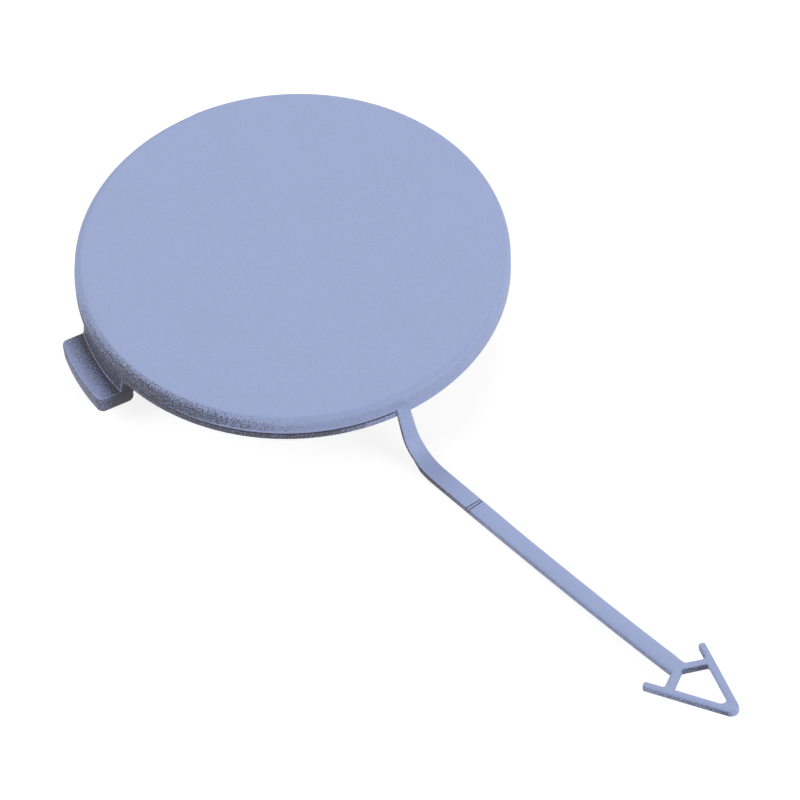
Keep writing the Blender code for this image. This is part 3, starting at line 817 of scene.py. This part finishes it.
def rib_tree(tree, sizes):
    """Count bars along X, Gap apart about Middle, each Along by Across by Height, their tops at Top."""
    gaps = maths(tree, "SUBTRACT", sizes["Count"], 1.0)
    run = maths(tree, "MULTIPLY", gaps, sizes["Gap"])
    start = maths(tree, "MULTIPLY_ADD", run, -0.5, sizes["Middle"])
    level = maths(tree, "MULTIPLY_ADD", sizes["Height"], -0.5, sizes["Top"])
    first = node(tree, "ShaderNodeCombineXYZ", None, X=start, Z=level)
    step = node(tree, "ShaderNodeCombineXYZ", None, X=sizes["Gap"])
    size = node(tree, "ShaderNodeCombineXYZ", None, X=sizes["Along"], Y=sizes["Across"], Z=sizes["Height"])
    line = node(tree, "GeometryNodeMeshLine", None, Count=sizes["Count"],
                Start_Location=first.outputs[0], Offset=step.outputs[0])
    bar = node(tree, "GeometryNodeMeshCube", None, Size=size.outputs[0])
    return node(tree, "GeometryNodeInstanceOnPoints", None,
                Points=line.outputs[0], Instance=bar.outputs[0]).outputs[0]


rib_top = BITE - PLATE_THICK
cross_reach = math.sqrt((PLATE_RADIUS - RIM_WIDTH) ** 2 - CROSS_RIB_OFFSET ** 2) + BITE
long_start, long_end = -LUG_INNER - BITE, SNAP_FACE - SNAP_THICK + BITE
ribs = [run_tree("cross_ribs", rib_tree, {
            "Count": 2, "Gap": 2.0 * CROSS_RIB_OFFSET, "Middle": 0.0, "Along": RIB_THICK,
            "Across": 2.0 * cross_reach, "Height": RIB_DROP - CROSS_RIB_STEP + rib_top, "Top": rib_top}),
        run_tree("long_rib", rib_tree, {
            "Count": 1, "Gap": 0.0, "Middle": (long_start + long_end) / 2.0, "Along": long_end - long_start,
            "Across": RIB_THICK, "Height": RIB_DROP + rib_top, "Top": rib_top})]
for rib in ribs:
    edges = bmesh.new()
    edges.from_mesh(rib.data)
    soften(edges, RIB_EDGE)
    edges.to_mesh(rib.data)
    edges.free()


# %% Ejector marks
PAD_COUNT = 4
PAD_RING = 25.0              # plate's axis to the middle of each print
PAD_TURN = 45.0              # direction of the first one, in degrees
PAD_RADIUS = 2.0
PAD_DEPTH = 0.3
PAD_SIDES = 40


def ejector_tree(tree, sizes):
    """Flat round pads on a ring, half sunk in the underside."""
    turn = node(tree, "ShaderNodeCombineXYZ", None, Z=sizes["First angle"])
    drop = node(tree, "ShaderNodeCombineXYZ", None, Z=sizes["Level"])
    ring = node(tree, "GeometryNodeMeshCircle", None, Vertices=sizes["Count"], Radius=sizes["Ring radius"])
    placed = node(tree, "GeometryNodeTransform", None, Geometry=ring.outputs[0],
                  Rotation=turn.outputs[0], Translation=drop.outputs[0])
    pad = node(tree, "GeometryNodeMeshCylinder", {"fill_type": "NGON"}, Vertices=PAD_SIDES,
               Radius=sizes["Pad radius"], Depth=sizes["Pad depth"])
    return node(tree, "GeometryNodeInstanceOnPoints", None,
                Points=placed.outputs[0], Instance=pad.outputs["Mesh"]).outputs[0]


marks = run_tree("ejector_marks", ejector_tree, {
    "Count": PAD_COUNT, "Ring radius": PAD_RING, "First angle": math.radians(PAD_TURN),
    "Pad radius": PAD_RADIUS, "Pad depth": PAD_DEPTH, "Level": -PLATE_THICK})

# %% [markdown]
# ## One moulded body
# The shapes are joined with Booleans, because the real cover is one piece of plastic and its skin has no
# inner walls. The result goes to its place in the row's frame, so its object can stay at the origin.

# %% Join the shapes
cover = in_scene("painted_cover", plate.data.copy())
shapes = [neck, lug, snap, *ribs, marks, strap]
for body in shapes:
    modifier = cover.modifiers.new(body.name, "BOOLEAN")
    modifier.operation = "UNION"
    modifier.solver = "EXACT"
    modifier.object = body
bpy.context.view_layer.update()
joined = bpy.data.meshes.new_from_object(cover.evaluated_get(bpy.context.evaluated_depsgraph_get()))
cover.modifiers.clear()
for body in [plate, *shapes]:
    bpy.data.objects.remove(body)
print("joined mesh:", len(joined.vertices), "points")

# %% Finish the skin
LUG_STRIPS = 5               # strips across the lug, whose points let the paint change along it
skin = bmesh.new()
skin.from_mesh(joined)
bmesh.ops.remove_doubles(skin, verts=skin.verts, dist=WELD)
for step in range(1, LUG_STRIPS):
    cut_x = -PLATE_RADIUS - (LUG_REACH - PLATE_RADIUS) * step / LUG_STRIPS
    block = [face for face in skin.faces
             if all(v.co.x < -LUG_INNER and v.co.z < WELD - LUG_TOP for v in face.verts)]
    borders = dict.fromkeys(part for face in block for part in (*face.edges, *face.verts))
    bmesh.ops.bisect_plane(skin, geom=[*block, *borders],
                           plane_co=(cut_x, 0.0, 0.0), plane_no=(1.0, 0.0, 0.0))
bmesh.ops.transform(skin, matrix=TO_ROW, verts=skin.verts)
open_edges = sum(1 for edge in skin.edges if len(edge.link_faces) != 2)
skin.to_mesh(joined)
skin.free()
cover.data = joined
cover.data.shade_smooth()
cover.data.set_sharp_from_angle(angle=CREASE)
joined.calc_loop_triangles()
print("cover:", len(joined.loop_triangles), "triangles,", open_edges, "open edges")

# %% [markdown]
# ## How much spray each place catches, and where shade and highlight are painted
# A surface that faces the gun gets a closed coat, and one that turns away gets little. The paint works
# that out from the slope. But the cover also shades parts of itself, and paint draws back from rounded
# edges. Light is painted here as well: the groove, the ring under it, the mark's lines, the lug at its neck
# and one face in the arrow's hole get less cover as painted shade, and the proud lower lip gets more as a
# painted highlight. That belongs to the place and not to the slope, so for such places the wanted cover is
# set here, and an attribute keeps how far it is from what the slope alone would give.

# %% Cover, painted shade and painted highlight on the rim
# The wall away from the gun is also the one away from the strongest lamp, so its low cover is partly
# painted shade.
WALL_COVER = (1.15, 0.15)    # on the rim's wall: toward the gun, and on the side away from it
AWAY_MIDDLE = 202.0          # direction about the plate's axis that lies farthest from the gun
AWAY_REACH = 45.0            # degrees to either side of it
ROUND_TURN = (8.0, 72.0)     # degrees into the rounding where it turns thin, and where it is as on the wall
ROUND_GAIN = 0.75            # how much more cover than the wall the thin part has at the face
LIP_HIGHLIGHT_GAIN = 0.7               # painted highlight: how much more cover the proud lower lip has, a light line along it
LIP_START = 205.0            # direction at which that begins
GROOVE_SHADE_COVER = -0.3          # painted shade in the groove and in the mark's lines
GROOVE_EDGE = 0.04           # a place this far behind the rim's face is in the groove
RING_SHADE_COVER = 0.1             # on the ring under the groove: thin coat and painted shade under the wall's lip
RING_FADE = 20.0             # degrees over which these grow


# A slope turned from the gun is also turned from the strongest lamp, so its lower cover is partly painted
# shade.
def slope_cover_and_shade(normal):
    """Cover that a slope gets by itself."""
    return COVER_GAIN * max(normal.dot(SPRAY_AND_KEY_LIGHT), 0.0)


def rim_cover_shade_and_highlight(radius, degrees, drop, normal):
    """Cover on the plate's rounding, wall, lip, groove and ring."""
    edge = math.cos(math.radians(AWAY_REACH))
    away = clamp((math.cos(math.radians(degrees - AWAY_MIDDLE)) - edge) / (1.0 - edge))
    wall = between(*WALL_COVER, away)
    if drop < PLATE_ROUND - WELD:
        turn = math.degrees(math.acos(1.0 - drop / PLATE_ROUND))
        thin = wall + ROUND_GAIN * clamp(1.0 - turn / ROUND_TURN[1])
        return thin if turn > ROUND_TURN[0] else slope_cover_and_shade(normal)
    grooved = groove_depth(degrees) / GROOVE_DEPTH
    # Painted highlight: the proud lower lip gets more cover, a light line.
    if abs(drop - GROOVE_DROP + LIP * 2.0) < LIP + WELD:
        return wall + LIP_HIGHLIGHT_GAIN * clamp((degrees - LIP_START) / RING_FADE) * grooved
    # Painted shade in the groove: less cover darkens it.
    if radius < PLATE_RADIUS - GROOVE_EDGE and -WELD < drop - GROOVE_DROP < GROOVE_HEIGHT + WELD:
        return between(wall, GROOVE_SHADE_COVER, grooved)
    # Painted shade and thin coat on the ring under the wall's lip.
    if drop > GROOVE_DROP:
        shaded = (clamp((degrees - GROOVE_START) / RING_FADE)
                  * clamp((GROOVE_END - degrees) / RING_FADE))
        return between(wall, RING_SHADE_COVER, shaded)
    return wall


wall_middle = (PLATE_ROUND + GROOVE_DROP) / 2.0
print("cover on the wall away from the gun:",
      round(rim_cover_shade_and_highlight(PLATE_RADIUS, AWAY_MIDDLE, wall_middle, Vector((0.0, 0.0, 1.0))), 2))

# %% Cover and painted shade on the lug
CORNER_COVER = 0.45          # on the thin edges at the lug's neck
CORNER_NORMAL = 0.3          # such an edge is where the normal points this far both along X and along Y
FOOT_SHARE = 0.9             # part of the foot's rounding that counts as such an edge
LUG_TOP_COVER_AND_SHADE = (-0.65, 1.15)    # on the lug's top, at the neck and at its outer edge; low at the neck as painted shade under the rim
LUG_FAR_SHADE = 0.4          # painted shade: how much less that is at the lug's +Y end
LUG_FAR_POWER = 8            # how suddenly that comes
LUG_SIDE_COVER_AND_SHADE = (-0.9, 0.5)  # on the lug's sides, at the neck and at their outer edges; low at the neck as painted shade under the plate
LUG_END_COVER = 0.3          # on the lug's outer end
SIDE_NORMAL = 0.6            # a surface is a top or a side when its normal points this far that way


def lug_cover_and_shade(place, past_rim, drop, normal):
    """Cover on the lug, and on the thin edges of its neck."""
    outward = clamp(past_rim / (LUG_REACH - PLATE_RADIUS))
    over = LUG_TOP - drop
    if over > WELD:
        on_foot = over < FOOT_FILLET * FOOT_SHARE and past_rim > NECK_RADIUS - PLATE_RADIUS + WELD
        if on_foot or min(abs(normal.x), abs(normal.y)) > CORNER_NORMAL:
            return CORNER_COVER
        return LUG_SIDE_COVER_AND_SHADE[0] if abs(normal.y) > SIDE_NORMAL else slope_cover_and_shade(normal)
    # Painted shade: the lug's top is darkest at the neck under the rim and at its +Y end.
    if normal.z > SIDE_NORMAL:
        far = LUG_FAR_SHADE * clamp(place.y / LUG_WIDTH * 2.0) ** LUG_FAR_POWER
        return between(*LUG_TOP_COVER_AND_SHADE, math.sqrt(outward)) - far
    if abs(normal.y) > SIDE_NORMAL:
        return between(*LUG_SIDE_COVER_AND_SHADE, math.sqrt(outward))
    return LUG_END_COVER


print("cover on the lug's top, from the neck to its outer edge:", LUG_TOP_COVER_AND_SHADE)

# %% Cover and painted shade on the strap and the arrow
ARROW_SIDE_COVER = 0.4       # on the side faces of the arrow
STRAP_SIDE_COVER = 0.8       # on the side faces of the strap's far part
SIDE_GROWS = (9.0, 13.0)     # distance from the rim at which that begins, and over which it comes
STRUT_SHADE_COVER = 0.3            # painted shade on one strut's face in the arrow's hole, where the leg shades it
HOLE_COVER = 1.3             # on the hole's other faces
MARK_NEAR = 0.12             # a place this near to a sunk section is in the mark
ARROW_ORIGIN, ARROW_AXIS, ARROW_ACROSS, _ = arrow_frame()
MARK_POINTS = [Vector(point) for left, right, sunk in mark_stations() if sunk > 0.0
               for point in strap_section(left, right, sunk)]
HOLE_POINTS = [Vector(point) for point in arrow_outlines(0.0)[1]]


def strap_cover_and_shade(place, past_rim, normal):
    """Cover in the mark, on the sides of strap and arrow, and in the arrow's hole."""
    # Painted shade: the mark's lines get the groove's low cover.
    if any((place - point).length < MARK_NEAR for point in MARK_POINTS):
        return GROOVE_SHADE_COVER
    if normal.z > SIDE_NORMAL:
        return slope_cover_and_shade(normal)
    offset = place - ARROW_ORIGIN
    flat = Vector((offset.dot(ARROW_AXIS), offset.dot(ARROW_ACROSS)))
    if min((point - flat).length for point in HOLE_POINTS) < ARROW_EDGE + ARROW_DRAFT:
        # Painted shade on the strut's face that the leg shades.
        return STRUT_SHADE_COVER if normal.dot(ARROW_AXIS) > 0.0 > normal.dot(ARROW_ACROSS) else HOLE_COVER
    slope = slope_cover_and_shade(Vector((normal.x, normal.y, 0.0)).normalized())
    if flat.x > 0.0:
        return max(slope, ARROW_SIDE_COVER)
    return max(slope, STRAP_SIDE_COVER * clamp((past_rim - SIDE_GROWS[0]) / SIDE_GROWS[1]))


print("points in the mark's lines:", len(MARK_POINTS))

# %% Cover and painted light at every point
UNDERSIDE = -0.5             # a surface whose normal points lower than this is left to the slope


def cover_and_painted_light(place, normal):
    """Wanted cover less the slope's own, at a place in millimetres about the plate's axis."""
    radius = math.hypot(place.x, place.y)
    degrees = math.degrees(math.atan2(place.y, place.x)) % 360.0
    past_rim = radius - PLATE_RADIUS
    drop = -place.z
    if normal.z < UNDERSIDE:
        return 0.0
    if drop > RIM_DROP and place.x < BITE - LUG_INNER and abs(place.y) < LUG_WIDTH:
        return lug_cover_and_shade(place, past_rim, drop, normal) - slope_cover_and_shade(normal)
    if abs(past_rim) < PLATE_ROUND + WELD and drop <= RIM_DROP + WELD:
        return rim_cover_shade_and_highlight(radius, degrees, drop, normal) - slope_cover_and_shade(normal)
    if place.y < -PLATE_RADIUS:
        return strap_cover_and_shade(place, past_rim, normal) - slope_cover_and_shade(normal)
    return 0.0


to_plate = TO_ROW.inverted()
# The attribute carries painted shade in the groove, ring, mark, lug and hole, and a painted highlight on
# the lip.
cover_and_light_offset = joined.attributes.new("cover_and_painted_light", "FLOAT", "POINT")
cover_and_light_offset.data.foreach_set("value", [cover_and_painted_light(to_plate @ point.co, point.normal) for point in joined.vertices])
print("exposure written for", len(joined.vertices), "points")

# %% [markdown]
# ## Painted cover
# The one mesh stands for the imported node. It rides on the row's only body and carries the paint.

# %% Painted cover
cover.data.materials.clear()
cover.data.materials.append(paint)
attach(cover, "root")
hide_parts(NODE)
print("painted with", paint.name)

# %% [markdown]
# ## Studio
# A pale floor and soft lamps. The floor is a matt sheet that keeps the cover's shadow. For the camera and
# for reflections it also glows a little, so the sheet ends in the white that a studio sweep gives.

# %% Floor
FLOOR_SIZE = 6.0             # metres
FLOOR_COLOUR = linear("#B4B4B4")
FLOOR_ROUGHNESS = 0.9
FLOOR_GLOW = 0.80            # what the lamps leave short of white
WHITE = (1.0, 1.0, 1.0, 1.0)


def shown(tree):
    """1 for what the camera sees, also in gloss or through glass, and 0 for the light on the cover."""
    path = node(tree, "ShaderNodeLightPath").outputs
    seen = maths(tree, "MAXIMUM", path["Is Camera Ray"], path["Is Glossy Ray"])
    return maths(tree, "MAXIMUM", seen, path["Is Transmission Ray"])


def studio_floor():
    """Large matt floor under the cover's lowest point."""
    shape = bmesh.new()
    half = FLOOR_SIZE / 2.0
    corners = ((-half, -half), (half, -half), (half, half), (-half, half))
    shape.faces.new([shape.verts.new((x, y, 0.0)) for x, y in corners])
    mesh = bpy.data.meshes.new("studio_floor")
    shape.to_mesh(mesh)
    shape.free()
    floor = in_scene("studio_floor", mesh)
    material, tree, surface = new_material("matt_white_board")
    surface.inputs["Base Color"].default_value = FLOOR_COLOUR
    surface.inputs["Roughness"].default_value = FLOOR_ROUGHNESS
    surface.inputs["Specular IOR Level"].default_value = 0.0
    surface.inputs["Emission Color"].default_value = WHITE
    tree.links.new(maths(tree, "MULTIPLY", shown(tree), FLOOR_GLOW), surface.inputs["Emission Strength"])
    mesh.materials.append(material)
    return floor


board = studio_floor()
print(board.name, "is", FLOOR_SIZE, "m wide")

# %% World
world = bpy.context.scene.world or bpy.data.worlds.new("studio")
bpy.context.scene.world = world
world.use_nodes = True
tree = world.node_tree
tree.nodes.clear()
sky = node(tree, "ShaderNodeBackground", None, Color=WHITE, Strength=shown(tree))
node(tree, "ShaderNodeOutputWorld", None, Surface=sky.outputs[0])
print("the world is white to look at and gives no light")

# %% Lamps
LAMP_DISTANCE = 1.2           # metres from the middle of the plate's face
LAMP_SIZE = 0.7               # metres, large for soft shadows
LAMPS = {                     # plan azimuth and elevation in degrees, power in watts
    "right_front": (30.0, 20.0, 7.6),
    "right": (90.0, 20.0, 3.5),
    "right_back": (150.0, 20.0, 2.5),
    "high_back": (150.0, 50.0, 4.2),
    "front": (330.0, 20.0, 2.8),
    "left_back": (250.0, 30.0, 7.5)}


def direction(azimuth, elevation):
    """Unit vector toward a place at an azimuth and elevation in degrees; azimuth 0 lies along -Y."""
    a, e = math.radians(azimuth), math.radians(elevation)
    return Vector((math.sin(a) * math.cos(e), -math.cos(a) * math.cos(e), math.sin(e)))


def soft_lamp(name, azimuth, elevation, power):
    """Square area lamp that looks at the plate."""
    back = direction(azimuth, elevation)
    light = bpy.data.lights.new(name, "AREA")
    light.shape = "SQUARE"
    light.size = LAMP_SIZE
    light.energy = power
    lamp = in_scene(name, light)
    lamp.location = TO_ROW @ Vector((0.0, 0.0, 0.0)) + back * LAMP_DISTANCE
    lamp.rotation_mode = "QUATERNION"
    lamp.rotation_quaternion = (-back).to_track_quat("-Z", "Y")


for lamp_name, lamp_settings in LAMPS.items():
    soft_lamp(lamp_name, *lamp_settings)
print(len(LAMPS), "lamps give", round(sum(settings[-1] for settings in LAMPS.values()), 1), "W")

# %% [markdown]
# ## Camera
# The photograph's camera was worked out from the plate's outline, which is a circle in perspective, and
# from the strap: where it stands, how far away it is, its small roll, and its focal length in pixels. The
# plate isn't in the middle of the picture, so the camera turns a little to aim at the picture's middle.

# %% Camera
CAMERA_AZIMUTH = -24.2        # degrees, counted as for the lamps
CAMERA_ELEVATION = 49.2       # degrees above the floor
CAMERA_ROLL = -3.5            # degrees
CAMERA_DISTANCE = 900.0       # millimetres from the plate's centre
FOCAL_PIXELS = 5248.8         # focal length
PLATE_PIXEL = (291.95, 252.4)  # where the plate's centre is in the picture
PICTURE = 800.0               # width and height of the picture in pixels
SENSOR = 36.0                 # millimetres
CLIP = (0.05, 20.0)           # metres

back = direction(CAMERA_AZIMUTH, CAMERA_ELEVATION)
azimuth = math.radians(CAMERA_AZIMUTH)
roll = math.radians(CAMERA_ROLL)
level_right = Vector((math.cos(azimuth), math.sin(azimuth), 0.0))
level_up = back.cross(level_right)
right = level_right * math.cos(roll) + level_up * math.sin(roll)
up = level_up * math.cos(roll) - level_right * math.sin(roll)
aim_right = (PICTURE / 2.0 - PLATE_PIXEL[0]) / FOCAL_PIXELS
aim_down = (PICTURE / 2.0 - PLATE_PIXEL[1]) / FOCAL_PIXELS
aim = (right * aim_right - up * aim_down - back).normalized()
side = aim.cross(up).normalized()
top = side.cross(aim)

lens = bpy.data.cameras.new("photo_camera")
lens.sensor_width = SENSOR
lens.lens = FOCAL_PIXELS / PICTURE * SENSOR
lens.clip_start, lens.clip_end = CLIP
camera = in_scene("photo_camera", lens)
turn = Matrix((side, top, -aim)).transposed()
camera.matrix_world = Matrix.Translation(TO_ROW @ (back * CAMERA_DISTANCE)) @ turn.to_4x4()
bpy.context.scene.camera = camera
bpy.context.scene.view_settings.view_transform = "Standard"
print("lens:", round(lens.lens, 1), "mm")
